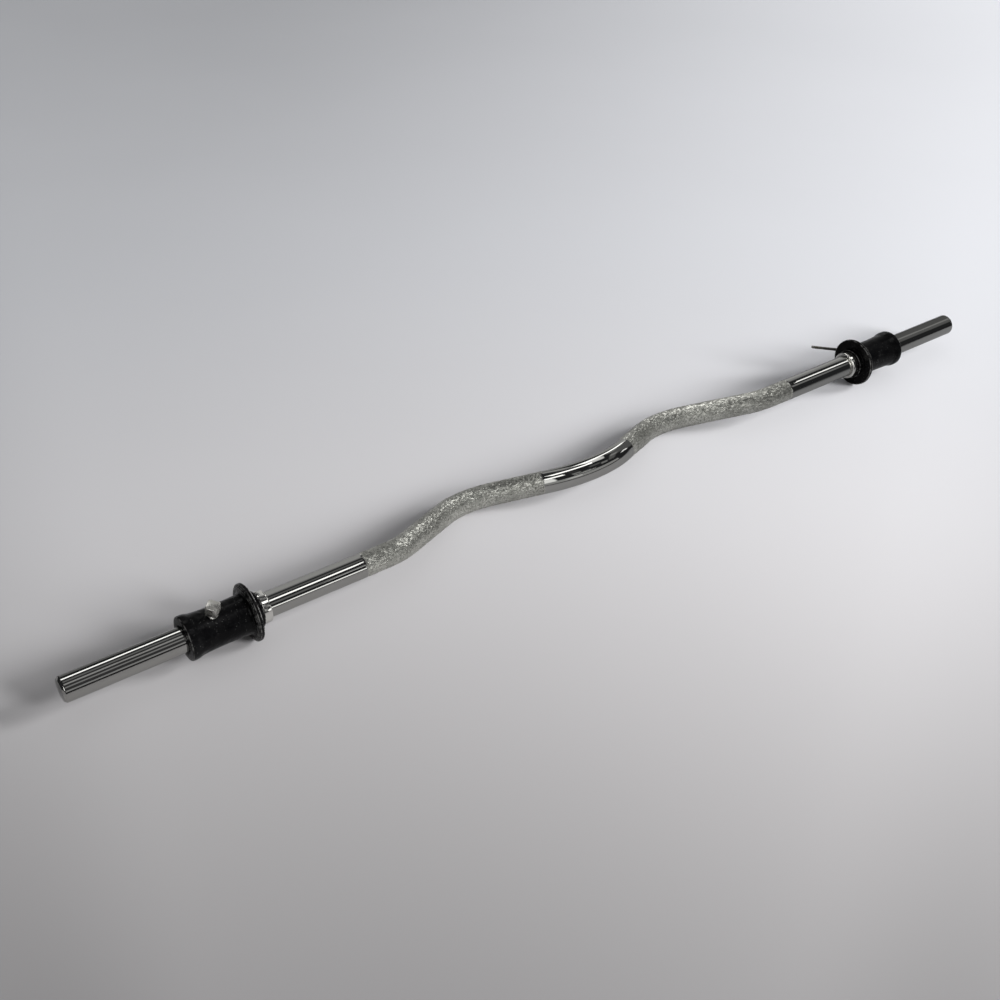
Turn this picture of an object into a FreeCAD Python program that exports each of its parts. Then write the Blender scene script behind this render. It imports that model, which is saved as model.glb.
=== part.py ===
import FreeCAD
import Part
import Sketcher
import math
import os
from FreeCAD import Placement, Rotation, Vector

# Angled curl bar lying as it rests on a floor: both collar flanges and both crests touch it.
# +X runs along the bar ends, +Y towards the side the crests lean to, +Z up, in millimetres.

# name, value, meaning
DIMENSIONS = [
    ("bar_length", "1194", "bar, end to end"),
    ("bar_diameter", "25.4", "round bar"),
    ("end_chamfer", "2.2", "chamfer on each bar end"),
    ("straight_start", "269.5", "bar middle to the start of the straight end"),
    ("outer_bend_radius", "70", "bend where the straight end begins, to the bar's centre line"),
    ("crest_place", "138.5", "bar middle to the centre of a crest bend"),
    ("crest_height", "52", "top of a crest above the end axis, on the centre line"),
    ("crest_radius", "70", "crest bend, to the centre line"),
    ("valley_height", "6", "middle of the bar above the end axis, on the centre line"),
    ("valley_radius", "118", "middle bend, to the centre line"),
    ("sleeve_length", "188.5", "bar end to the outer face of a stop ring"),
    ("ring_length", "9", "stop ring"),
    ("ring_diameter", "32.4", "stop ring"),
    ("ring_edge", "1.6", "rounding of a stop ring's edges"),
    ("collar_length", "74", "collar"),
    ("bore_clearance", "0.3", "collar bore to bar, on the radius"),
    ("mouth_chamfer", "1.2", "chamfer at both mouths of the collar bore"),
    ("hub_length", "6.5", "collar hub that meets the stop ring"),
    ("hub_diameter", "36", "collar hub"),
    ("flange_diameter", "58", "collar flange"),
    ("flange_width", "4.2", "full-diameter rim of the flange"),
    ("flange_edge", "1.2", "rounding of the flange rim"),
    ("ridge_width", "0.7", "each of the two ridges behind the rim"),
    ("ridge_drop", "1.4", "fall in radius at each ridge"),
    ("shoulder_diameter", "40.8", "collar neck at both of its ends"),
    ("neck_waist", "0.9", "hollow of the neck, on the radius"),
    ("neck_fillet", "2.5", "fillet between neck and flange"),
    ("lip_diameter", "44", "collar lip"),
    ("lip_width", "6.5", "full-diameter rim of the lip"),
    ("lip_flare", "5", "slope from the neck up to the lip"),
    ("lip_edge", "1.5", "rounding of the lip's edges"),
    ("screw_place", "45", "collar's inner end to the set screw"),
    ("screw_diameter", "9.5", "set screw thread, outside"),
    ("screw_clearance", "0.05", "screw to its hole, on the radius"),
    ("screw_tip_gap", "0.1", "screw tip to the bar"),
    ("screw_tip_chamfer", "1.2", "chamfer at the screw tip"),
    ("head_standoff", "3.4", "collar neck to the underside of the screw head"),
    ("head_width", "11.2", "square screw head, across flats"),
    ("head_crown", "12.4", "diameter of the flat on top of the crowned head"),
    ("head_cap", "2.9", "cross hole's centre up to the top of the head"),
    ("left_screw_angle", "106", "left screw, in degrees up from +Y"),
    ("left_head_turn", "43", "left screw head, in degrees about its own axis"),
    ("right_screw_angle", "-17", "right screw, in degrees up from +Y"),
    ("right_head_turn", "200", "right screw head and tommy bar, in degrees about the screw's axis"),
    ("tommy_diameter", "3.4", "tommy bar"),
    ("tommy_clearance", "0.05", "tommy bar to its hole, on the radius"),
    ("swing_clearance", "0.3", "tommy bar over the flange as it swings past"),
    ("tommy_length", "96", "tommy bar"),
    ("tommy_reach", "79", "screw axis to the long end of the tommy bar"),
    ("tommy_chamfer", "0.5", "chamfer on the tommy bar's ends"),
]

# Degrees, and the most of a step that a rounded edge may take up
CROWN_SLOPE = 30.0
EDGE_SHARE = 0.9


class Size:
    """A size held both as its formula in the sheet and as its present value."""

    def __init__(self, formula, value):
        self.formula = formula
        self.value = value

    def combined(self, sign, other, value):
        formula = other.formula if isinstance(other, Size) else repr(other)
        return Size("(%s %s %s)" % (self.formula, sign, formula), value)

    def __add__(self, other):
        return self.combined("+", other, self.value + number(other))

    def __sub__(self, other):
        return self.combined("-", other, self.value - number(other))

    def __mul__(self, other):
        return self.combined("*", other, self.value * number(other))

    def __truediv__(self, other):
        return self.combined("/", other, self.value / number(other))

    def __neg__(self):
        return self * -1


def number(size):
    return size.value if isinstance(size, Size) else float(size)


def root(size):
    return Size("sqrt(%s)" % size.formula, math.sqrt(size.value))


def edge_within(wanted, *steps):
    """An edge's rounding, limited by the steps that it is cut into."""
    limits = [step * EDGE_SHARE for step in steps]
    formulas = "; ".join(item.formula for item in [wanted] + limits)
    return Size("min(%s)" % formulas, min(item.value for item in [wanted] + limits))


document = FreeCAD.newDocument("curl_bar")
sheet = document.addObject("Spreadsheet::Sheet", "sizes")
for row, (alias, text, meaning) in enumerate(DIMENSIONS, start=1):
    sheet.set("A%d" % row, meaning)
    sheet.set("B%d" % row, text)
    sheet.setAlias("B%d" % row, alias)
document.recompute()
size = {alias: Size("sizes." + alias, float(sheet.get(alias))) for alias, _, _ in DIMENSIONS}

# Places that several pieces share
bar_radius = size["bar_diameter"] / 2
half_length = size["bar_length"] / 2
axis_height = size["flange_diameter"] / 2
crest_lean_sine = (axis_height - bar_radius) / size["crest_height"]
crest_lean = Size("asin(%s)" % crest_lean_sine.formula, math.degrees(math.asin(crest_lean_sine.value)))
crest_reach = root(size["crest_height"] * size["crest_height"]
                   - (axis_height - bar_radius) * (axis_height - bar_radius))
axis_offset = (axis_height - bar_radius - crest_reach) / 2
collar_start = half_length - size["sleeve_length"]
ring_start = collar_start - size["ring_length"]
screw_station = collar_start + size["screw_place"]
bore_radius = bar_radius + size["bore_clearance"]
shoulder_radius = size["shoulder_diameter"] / 2
waist_radius = shoulder_radius - size["neck_waist"]
screw_radius = size["screw_diameter"] / 2
tommy_radius = size["tommy_diameter"] / 2
head_base = waist_radius + size["head_standoff"]
cross_hole_height = axis_height + size["swing_clearance"] + tommy_radius
head_top = cross_hole_height + size["head_cap"]
cross_hole_radius = tommy_radius + size["tommy_clearance"]


def new_body(label):
    body = document.addObject("PartDesign::Body", label)
    body.Label = label
    return body


def new_sketch(body, name, role):
    sketch = body.newObject("Sketcher::SketchObject", name)
    plane = next(item for item in body.Origin.OriginFeatures if item.Role == role)
    sketch.AttachmentSupport = [(plane, "")]
    sketch.MapMode = "FlatFace"
    return sketch


def bind(item, path, wanted):
    item.setExpression(path, wanted.formula)


def measure(sketch, kind, where, wanted):
    index = sketch.addConstraint(Sketcher.Constraint(kind, *where, number(wanted)))
    sketch.renameConstraint(index, "size_%d" % index)
    bind(sketch, "Constraints.size_%d" % index, wanted)


def place_point(sketch, element, point, x, y):
    for kind, wanted, axis in (("DistanceX", x, -2), ("DistanceY", y, -1)):
        if isinstance(wanted, Size):
            measure(sketch, kind, (-1, 1, element, point), wanted)
        else:
            sketch.addConstraint(Sketcher.Constraint("PointOnObject", element, point, axis))


def draw_outline(sketch, corners, hollows=()):
    """Closed outline through the corners; hollows maps a corner to the radius of a hollow arc that starts there."""
    hollows = dict(hollows)
    points = [Vector(number(x), number(y), 0) for x, y in corners]
    for index, start in enumerate(points):
        end = points[(index + 1) % len(points)]
        if index not in hollows:
            sketch.addGeometry(Part.LineSegment(start, end), False)
            continue
        radius = number(hollows[index])
        half = (end - start) * 0.5
        rise = math.sqrt(radius ** 2 - half.Length ** 2)
        centre = start + half + Vector(-half.y, half.x, 0).normalize() * rise
        first = math.atan2(start.y - centre.y, start.x - centre.x)
        last = math.atan2(end.y - centre.y, end.x - centre.x)
        sketch.addGeometry(Part.ArcOfCircle(Part.Circle(centre, Vector(0, 0, 1), radius), first, last), False)
    for index, (x, y) in enumerate(corners):
        following = (index + 1) % len(corners)
        sketch.addConstraint(Sketcher.Constraint("Coincident", index, 2, following, 1))
        place_point(sketch, index, 1, x, y)
        if index in hollows:
            measure(sketch, "Radius", (index,), hollows[index])


def draw_circle(sketch, x, y, radius):
    centre = Vector(number(x), number(y), 0)
    sketch.addGeometry(Part.Circle(centre, Vector(0, 0, 1), number(radius)), False)
    place_point(sketch, 0, 3, x, y)
    measure(sketch, "Radius", (0,), radius)


def revolve(body, name, sketch, axis, kind="PartDesign::Revolution"):
    feature = body.newObject(kind, name)
    feature.Profile = sketch
    feature.ReferenceAxis = (sketch, [axis])
    feature.Angle = 360
    return feature


def round_edges(body, name, along, rounds, kind, wanted):
    """Fillet or chamfer of the round edges that lie at the given (place, radius) pairs on an axis."""
    document.recompute()
    base = body.Tip
    names = []
    for index, edge in enumerate(base.Shape.Edges, start=1):
        if not isinstance(edge.Curve, Part.Circle):
            continue
        at = edge.Curve.Center.dot(along)
        for place, radius in rounds:
            if abs(at - number(place)) < 1e-4 and abs(edge.Curve.Radius - number(radius)) < 1e-4:
                names.append("Edge%d" % index)
    feature = body.newObject(kind, name)
    feature.Base = (base, names)
    bind(feature, "Radius" if kind.endswith("Fillet") else "Size", wanted)
    document.recompute()


def cut_volume(body, action):
    """Runs a cutting step and stops if it took nothing away."""
    document.recompute()
    before = body.Shape.Volume
    action()
    document.recompute()
    if body.Shape.Volume > before - 1e-3:
        raise RuntimeError("a cut in %s removed nothing" % body.Label)


def drill(body, name, sketch, both_ways):
    def action():
        hole = body.newObject("PartDesign::Pocket", name)
        hole.Profile = sketch
        hole.Type = "ThroughAll"
        hole.SideType = "Symmetric" if both_ways else "One side"
        hole.Reversed = not both_ways
    cut_volume(body, action)


def sit_on_axis(body, x, turn, spin=None):
    """Places a body on the bar's end axis, turned by a fixed rotation or by an angle about X."""
    body.Placement = Placement(Vector(number(x), axis_offset.value, axis_height.value), turn)
    if isinstance(x, Size):
        bind(body, "Placement.Base.x", x)
    bind(body, "Placement.Base.y", axis_offset)
    bind(body, "Placement.Base.z", axis_height)
    if spin is not None:
        bind(body, "Placement.Rotation.Angle", spin)


def tangent_slope(bend, bend_radius, crest, crest_radius):
    """Angle of the straight run between a rising bend and a crest that turns the other way."""
    across = crest - bend
    return math.atan2(across.y, across.x) + math.asin((bend_radius + crest_radius) / across.Length)


# Bent bar: one round section swept along straight runs and tangent bends

def draw_bar_path(sketch):
    outer_radius = size["outer_bend_radius"].value
    crest_radius = size["crest_radius"].value
    valley_radius = size["valley_radius"].value
    crest_drop = size["crest_height"] - size["crest_radius"]
    valley_centre = size["valley_height"] + size["valley_radius"]
    bend = Vector(-size["straight_start"].value, outer_radius, 0)
    crest = Vector(-size["crest_place"].value, crest_drop.value, 0)
    middle = Vector(0, valley_centre.value, 0)
    rise = tangent_slope(bend, outer_radius, crest, crest_radius)
    fall = tangent_slope(Vector(0, valley_centre.value, 0), valley_radius,
                         Vector(size["crest_place"].value, crest_drop.value, 0), crest_radius)
    start = Vector(-half_length.value, 0, 0)
    bend_in = Vector(bend.x, 0, 0)
    bend_out = bend + Vector(math.sin(rise), -math.cos(rise), 0) * outer_radius
    crest_in = crest + Vector(-math.sin(rise), math.cos(rise), 0) * crest_radius
    crest_out = crest + Vector(math.sin(fall), math.cos(fall), 0) * crest_radius
    valley_in = middle + Vector(-math.sin(fall), -math.cos(fall), 0) * valley_radius

    def line(first, last):
        return sketch.addGeometry(Part.LineSegment(first, last), False)

    def arc(centre, radius, first, last):
        circle = Part.Circle(centre, Vector(0, 0, 1), radius)
        return sketch.addGeometry(Part.ArcOfCircle(circle, first, last), False)

    def mirrored(point):
        return Vector(-point.x, point.y, 0)

    up = math.pi / 2
    run = [
        line(start, bend_in),
        arc(bend, outer_radius, -up, rise - up),
        line(bend_out, crest_in),
        arc(crest, crest_radius, up - fall, up + rise),
        line(crest_out, valley_in),
        arc(middle, valley_radius, -up - fall, -up + fall),
        line(mirrored(valley_in), mirrored(crest_out)),
        arc(mirrored(crest), crest_radius, up - rise, up + fall),
        line(mirrored(crest_in), mirrored(bend_out)),
        arc(mirrored(bend), outer_radius, -up - rise, -up),
        line(mirrored(bend_in), mirrored(start)),
    ]
    # The crest arcs run backwards along the path, so their ends swap
    crests = (run[3], run[7])
    for first, second in zip(run, run[1:]):
        leaving = 1 if first in crests else 2
        entering = 2 if second in crests else 1
        sketch.addConstraint(Sketcher.Constraint("Tangent", first, leaving, second, entering))
    for element, end, reach in ((run[0], 1, -half_length), (run[10], 2, half_length)):
        sketch.addConstraint(Sketcher.Constraint("Horizontal", element))
        sketch.addConstraint(Sketcher.Constraint("PointOnObject", element, end, -1))
        measure(sketch, "DistanceX", (-1, 1, element, end), reach)
    for element, reach in ((run[1], -size["straight_start"]), (run[9], size["straight_start"])):
        measure(sketch, "Radius", (element,), size["outer_bend_radius"])
        measure(sketch, "DistanceX", (-1, 1, element, 3), reach)
    for element, reach in ((run[3], -size["crest_place"]), (run[7], size["crest_place"])):
        measure(sketch, "Radius", (element,), size["crest_radius"])
        place_point(sketch, element, 3, reach, crest_drop)
    measure(sketch, "Radius", (run[5],), size["valley_radius"])
    place_point(sketch, run[5], 3, 0, valley_centre)


def build_bar():
    body = new_body("curl_bar")
    path = new_sketch(body, "bar_path", "XY_Plane")
    draw_bar_path(path)
    section = new_sketch(body, "bar_section", "YZ_Plane")
    section.AttachmentOffset = Placement(Vector(0, 0, -half_length.value), Rotation())
    bind(section, "AttachmentOffset.Base.z", -half_length)
    draw_circle(section, 0, 0, bar_radius)
    document.recompute()
    sweep = body.newObject("PartDesign::AdditivePipe", "bar_sweep")
    sweep.Profile = section
    sweep.Spine = path
    round_edges(body, "bar_ends", Vector(1, 0, 0), [(half_length, bar_radius), (-half_length, bar_radius)],
                "PartDesign::Chamfer", size["end_chamfer"])
    sit_on_axis(body, 0, Rotation(Vector(1, 0, 0), -crest_lean.value), -crest_lean)
    return body


# Stop rings: short tubes fixed on the bar

def build_ring(label, side):
    body = new_body(label)
    outline = new_sketch(body, label + "_outline", "XY_Plane")
    ring_radius = size["ring_diameter"] / 2
    draw_outline(outline, [(0, bar_radius), (0, ring_radius),
                           (size["ring_length"], ring_radius), (size["ring_length"], bar_radius)])
    revolve(body, label + "_turned", outline, "H_Axis")
    round_edges(body, label + "_edges", Vector(1, 0, 0), [(0, ring_radius), (size["ring_length"], ring_radius)],
                "PartDesign::Fillet", edge_within(size["ring_edge"], size["ring_length"] / 2, ring_radius - bar_radius))
    sit_on_axis(body, ring_start * side, facing(side))
    return body


def facing(side):
    """Turn that points a piece's own X axis outwards on the given side of the bar."""
    return Rotation(Vector(0, 0, 1), 0 if side > 0 else 180)


# Collars: turned spools with one threaded hole through the neck

def build_collar(label, side, screw_angle):
    body = new_body(label)
    hub_radius = size["hub_diameter"] / 2
    rim_start = size["hub_length"]
    rim_end = rim_start + size["flange_width"]
    ridge_end = rim_end + size["ridge_width"]
    flange_end = ridge_end + size["ridge_width"]
    lip_start = size["collar_length"] - size["lip_width"]
    lip_radius = size["lip_diameter"] / 2
    mouth_radius = bore_radius + size["mouth_chamfer"]
    neck_end = lip_start - size["lip_flare"]
    neck_half = (neck_end - flange_end) / 2
    waist = size["neck_waist"]
    neck_curve = (neck_half * neck_half + waist * waist) / (waist * 2)
    ridge_radius = axis_height - size["ridge_drop"]
    last_ridge_radius = ridge_radius - size["ridge_drop"]
    corners = [
        (0, mouth_radius),
        (0, hub_radius),
        (rim_start, hub_radius),
        (rim_start, axis_height),
        (rim_end, axis_height),
        (rim_end, ridge_radius),
        (ridge_end, ridge_radius),
        (ridge_end, last_ridge_radius),
        (flange_end, last_ridge_radius),
        (flange_end, shoulder_radius),
        (neck_end, shoulder_radius),
        (lip_start, lip_radius),
        (size["collar_length"], lip_radius),
        (size["collar_length"], mouth_radius),
        (size["collar_length"] - size["mouth_chamfer"], bore_radius),
        (size["mouth_chamfer"], bore_radius),
    ]
    neck = corners.index((flange_end, shoulder_radius))
    outline = new_sketch(body, label + "_outline", "XY_Plane")
    draw_outline(outline, corners, {neck: neck_curve})
    revolve(body, label + "_turned", outline, "H_Axis")
    along = Vector(1, 0, 0)
    round_edges(body, label + "_flange_edges", along, [(rim_start, axis_height), (rim_end, axis_height)],
                "PartDesign::Fillet", edge_within(size["flange_edge"], size["flange_width"] / 2, size["ridge_drop"]))
    round_edges(body, label + "_neck_fillet", along, [(flange_end, shoulder_radius)],
                "PartDesign::Fillet", edge_within(size["neck_fillet"], last_ridge_radius - shoulder_radius))
    round_edges(body, label + "_lip_edges", along, [(lip_start, lip_radius), (size["collar_length"], lip_radius)],
                "PartDesign::Fillet", edge_within(size["lip_edge"], size["lip_width"] / 2, lip_radius - mouth_radius))
    hole = new_sketch(body, label + "_screw_hole_circle", "XY_Plane")
    tilt = (screw_angle - 90) * side
    hole.AttachmentOffset = Placement(Vector(), Rotation(Vector(1, 0, 0), tilt.value))
    bind(hole, "AttachmentOffset.Rotation.Angle", tilt)
    draw_circle(hole, size["screw_place"], 0, screw_radius + size["screw_clearance"])
    drill(body, label + "_screw_hole", hole, both_ways=False)
    sit_on_axis(body, collar_start * side, facing(side))
    return body


# Set screws: a plain-ended screw with a tall square head, drilled across for the tommy bar

def build_screw(label, side, screw_angle, head_turn):
    body = new_body(label)
    tip = bar_radius + size["screw_tip_gap"]
    chamfer = size["screw_tip_chamfer"]
    shank = new_sketch(body, label + "_shank_outline", "XZ_Plane")
    draw_outline(shank, [(0, tip), (screw_radius - chamfer, tip), (screw_radius, tip + chamfer),
                         (screw_radius, head_base), (0, head_base)])
    revolve(body, label + "_shank", shank, "V_Axis")

    half = size["head_width"] / 2
    square = new_sketch(body, label + "_head_square", "XY_Plane")
    square.AttachmentOffset = Placement(Vector(0, 0, head_base.value), Rotation(Vector(0, 0, 1), head_turn.value))
    bind(square, "AttachmentOffset.Base.z", head_base)
    bind(square, "AttachmentOffset.Rotation.Angle", head_turn)
    draw_outline(square, [(-half, -half), (half, -half), (half, half), (-half, half)])
    head = body.newObject("PartDesign::Pad", label + "_head")
    head.Profile = square
    bind(head, "Length", head_top - head_base)

    def crown():
        crown_radius = size["head_crown"] / 2
        fall = (size["head_width"] - crown_radius) * math.tan(math.radians(CROWN_SLOPE))
        outline = new_sketch(body, label + "_crown_outline", "XZ_Plane")
        draw_outline(outline, [(crown_radius, head_top), (size["head_width"], head_top - fall),
                               (size["head_width"], head_top)])
        revolve(body, label + "_crown", outline, "V_Axis", "PartDesign::Groove")
    cut_volume(body, crown)

    cross = new_sketch(body, label + "_cross_hole_circle", "YZ_Plane")
    cross.AttachmentOffset = Placement(Vector(), Rotation(Vector(0, 1, 0), head_turn.value))
    bind(cross, "AttachmentOffset.Rotation.Angle", head_turn)
    draw_circle(cross, 0, cross_hole_height, cross_hole_radius)
    drill(body, label + "_cross_hole", cross, both_ways=True)
    tilt = screw_angle - 90
    sit_on_axis(body, screw_station * side, Rotation(Vector(1, 0, 0), tilt.value), tilt)
    return body


# Tommy bar: plain rod through the right screw's head, drawn out to one side

def build_tommy_bar(label):
    body = new_body(label)
    reach = size["tommy_reach"]
    tail = reach - size["tommy_length"]
    chamfer = size["tommy_chamfer"]
    outline = new_sketch(body, label + "_outline", "XY_Plane")
    turn = size["right_head_turn"]
    outline.AttachmentOffset = Placement(Vector(0, 0, cross_hole_height.value),
                                         Rotation(Vector(0, 0, 1), turn.value))
    bind(outline, "AttachmentOffset.Base.z", cross_hole_height)
    bind(outline, "AttachmentOffset.Rotation.Angle", turn)
    draw_outline(outline, [(tail, 0), (reach, 0), (reach, tommy_radius - chamfer),
                           (reach - chamfer, tommy_radius), (tail + chamfer, tommy_radius),
                           (tail, tommy_radius - chamfer)])
    revolve(body, label + "_turned", outline, "H_Axis")
    tilt = size["right_screw_angle"] - 90
    sit_on_axis(body, screw_station, Rotation(Vector(1, 0, 0), tilt.value), tilt)
    return body


pieces = [
    build_bar(),
    build_ring("left_stop_ring", -1),
    build_ring("right_stop_ring", 1),
    build_collar("left_collar", -1, size["left_screw_angle"]),
    build_collar("right_collar", 1, size["right_screw_angle"]),
    build_screw("left_set_screw", -1, size["left_screw_angle"], size["left_head_turn"]),
    build_screw("right_set_screw", 1, size["right_screw_angle"], size["right_head_turn"]),
    build_tommy_bar("tommy_bar"),
]
document.recompute()

for item in document.Objects:
    if "Invalid" in item.State or "Error" in item.State:
        raise RuntimeError("%s did not build: %s" % (item.Label, item.State))
for piece in pieces:
    shape = piece.Shape
    if shape.isNull() or not shape.isValid() or len(shape.Solids) != 1:
        raise RuntimeError("%s is not one sound solid" % piece.Label)

os.makedirs("parts", exist_ok=True)
for piece in pieces:
    piece.Shape.exportStep("parts/%s.step" % piece.Label)
    box = piece.Shape.BoundBox
    print("%s: %.1f mm3, X %.1f..%.1f Y %.1f..%.1f Z %.2f..%.2f" % (
        piece.Label, piece.Shape.Volume, box.XMin, box.XMax, box.YMin, box.YMax, box.ZMin, box.ZMax))
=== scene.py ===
import math
import random

import bpy
from mathutils import Matrix, Vector


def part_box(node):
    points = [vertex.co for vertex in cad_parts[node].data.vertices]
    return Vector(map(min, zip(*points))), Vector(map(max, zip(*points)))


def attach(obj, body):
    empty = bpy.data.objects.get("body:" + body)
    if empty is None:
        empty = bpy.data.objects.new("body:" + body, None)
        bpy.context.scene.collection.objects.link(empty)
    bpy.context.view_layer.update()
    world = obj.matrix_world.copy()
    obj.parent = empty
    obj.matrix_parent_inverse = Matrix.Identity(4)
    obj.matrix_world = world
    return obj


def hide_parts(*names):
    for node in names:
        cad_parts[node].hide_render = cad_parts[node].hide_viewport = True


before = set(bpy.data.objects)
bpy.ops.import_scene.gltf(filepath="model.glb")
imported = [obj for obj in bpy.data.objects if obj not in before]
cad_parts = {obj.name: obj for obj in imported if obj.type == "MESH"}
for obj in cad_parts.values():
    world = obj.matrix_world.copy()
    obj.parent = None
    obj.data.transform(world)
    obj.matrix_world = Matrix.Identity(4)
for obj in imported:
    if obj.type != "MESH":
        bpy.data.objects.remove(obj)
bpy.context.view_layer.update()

mm = 0.001
# the smallest distance told apart, and the distance at which points are welded
hair = 0.01 * mm
weld = 0.001 * mm
fullTurn = 2 * math.pi

# the bar's straight ends and both collars share one axis
ringLow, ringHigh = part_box("right_stop_ring")
axisY = (ringLow.y + ringHigh.y) / 2
axisZ = (ringLow.z + ringHigh.z) / 2
onAxis = (0.0, axisY, axisZ)
print("frame loaded, axis at", round(axisY, 5), round(axisZ, 5))


# hand tools; those that take no piece work on the active one

def putAway():
    if bpy.context.object and bpy.context.object.mode != "OBJECT":
        bpy.ops.object.mode_set(mode="OBJECT")
    bpy.ops.object.select_all(action="DESELECT")


def nameIt(name):
    piece = bpy.context.object
    piece.name = name
    piece.data.name = name
    return piece


def takeUp(piece):
    putAway()
    piece.select_set(True)
    bpy.context.view_layer.objects.active = piece


def editAll(elements="VERT"):
    bpy.ops.object.mode_set(mode="EDIT")
    bpy.ops.mesh.select_mode(type=elements)
    bpy.ops.mesh.select_all(action="SELECT")


def pickVerts(piece, wanted):
    # leaves the piece in edit mode with only the wanted vertices selected
    bpy.ops.object.mode_set(mode="EDIT")
    bpy.ops.mesh.select_mode(type="VERT")
    bpy.ops.mesh.select_all(action="DESELECT")
    bpy.ops.object.mode_set(mode="OBJECT")
    for vert in piece.data.vertices:
        vert.select = bool(wanted(vert))
    bpy.ops.object.mode_set(mode="EDIT")


def closeUp():
    editAll()
    bpy.ops.mesh.remove_doubles(threshold=weld)
    bpy.ops.mesh.normals_make_consistent(inside=False)
    bpy.ops.object.mode_set(mode="OBJECT")


def smoothBy(piece, degrees):
    takeUp(piece)
    bpy.ops.object.shade_smooth_by_angle(angle=math.radians(degrees))


def settle(piece, turn=0.0, tilt=0.0, place=(0.0, 0.0, 0.0)):
    # turned about its own Z, then tilted about X, then moved to its place
    takeUp(piece)
    piece.matrix_world = (Matrix.Translation(place) @ Matrix.Rotation(tilt, 4, "X")
                          @ Matrix.Rotation(turn, 4, "Z"))
    bpy.ops.object.transform_apply(location=True, rotation=True, scale=True)


def drawOutline(name, corners):
    # one point, pulled from corner to corner (x, height); leaves the piece in edit mode
    putAway()
    bpy.ops.mesh.primitive_plane_add(size=mm, location=(0, 0, 0))
    piece = nameIt(name)
    editAll()
    bpy.ops.mesh.merge(type="CENTER")
    bpy.ops.mesh.select_all(action="SELECT")
    startX, startZ = corners[0]
    bpy.ops.transform.translate(value=(startX, 0, startZ))
    for (lastX, lastZ), (nextX, nextZ) in zip(corners, corners[1:]):
        step = (nextX - lastX, 0, nextZ - lastZ)
        bpy.ops.mesh.extrude_region_move(TRANSFORM_OT_translate={"value": step})
    return piece


def fillOutline():
    bpy.ops.mesh.select_all(action="SELECT")
    bpy.ops.mesh.edge_face_add()
    bpy.ops.object.mode_set(mode="OBJECT")


def roundCorner(piece, corner, reach, segments):
    pickVerts(piece, lambda vert: math.hypot(vert.co.x - corner[0], vert.co.z - corner[1]) < 2 * hair)
    bpy.ops.mesh.bevel(offset=reach, offset_type="OFFSET", segments=segments, affect="VERTICES")
    bpy.ops.object.mode_set(mode="OBJECT")


def spinOutline(steps, axis):
    editAll()
    bpy.ops.mesh.delete(type="ONLY_FACE")
    bpy.ops.mesh.select_all(action="SELECT")
    bpy.ops.mesh.spin(steps=steps, angle=fullTurn, center=(0, 0, 0), axis=axis)
    closeUp()


def useTool(piece, tool, operation):
    # the tool is used up by the cut
    takeUp(piece)
    cut = piece.modifiers.new("cut", "BOOLEAN")
    cut.operation = operation
    cut.solver = "EXACT"
    cut.object = tool
    bpy.ops.object.modifier_apply(modifier=cut.name)
    toolMesh = tool.data
    bpy.data.objects.remove(tool)
    bpy.data.meshes.remove(toolMesh)


def easeEdges(piece, width, segments, degrees):
    takeUp(piece)
    ease = piece.modifiers.new("ease", "BEVEL")
    ease.width = width
    ease.segments = segments
    ease.limit_method = "ANGLE"
    ease.angle_limit = math.radians(degrees)
    bpy.ops.object.modifier_apply(modifier=ease.name)


# shader maths

class Sock:
    # wraps an output socket, so that sums on it add Math nodes

    def __init__(self, finish, socket):
        self.finish = finish
        self.socket = socket

    def maths(self, operation, first, second=None, clamp=False):
        values = {0: first}
        if second is not None:
            values[1] = second
        return self.finish.node("ShaderNodeMath", {"operation": operation, "use_clamp": clamp}, values)

    def __add__(self, other):
        return self.maths("ADD", self, other)

    def __radd__(self, other):
        return self.maths("ADD", other, self)

    def __sub__(self, other):
        return self.maths("SUBTRACT", self, other)

    def __rsub__(self, other):
        return self.maths("SUBTRACT", other, self)

    def __mul__(self, other):
        return self.maths("MULTIPLY", self, other)

    def __rmul__(self, other):
        return self.maths("MULTIPLY", other, self)

    def __truediv__(self, other):
        return self.maths("DIVIDE", self, other)

    def __abs__(self):
        return self.maths("ABSOLUTE", self)

    def clamped(self):
        return self.maths("ADD", self, 0.0, clamp=True)

    def ramp(self, low, high):
        # 0 below low, 1 above high, eased between
        settings = {"interpolation_type": "SMOOTHSTEP"}
        values = {"Value": self, "From Min": low, "From Max": high, "To Min": 0.0, "To Max": 1.0}
        return self.finish.node("ShaderNodeMapRange", settings, values)


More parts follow.
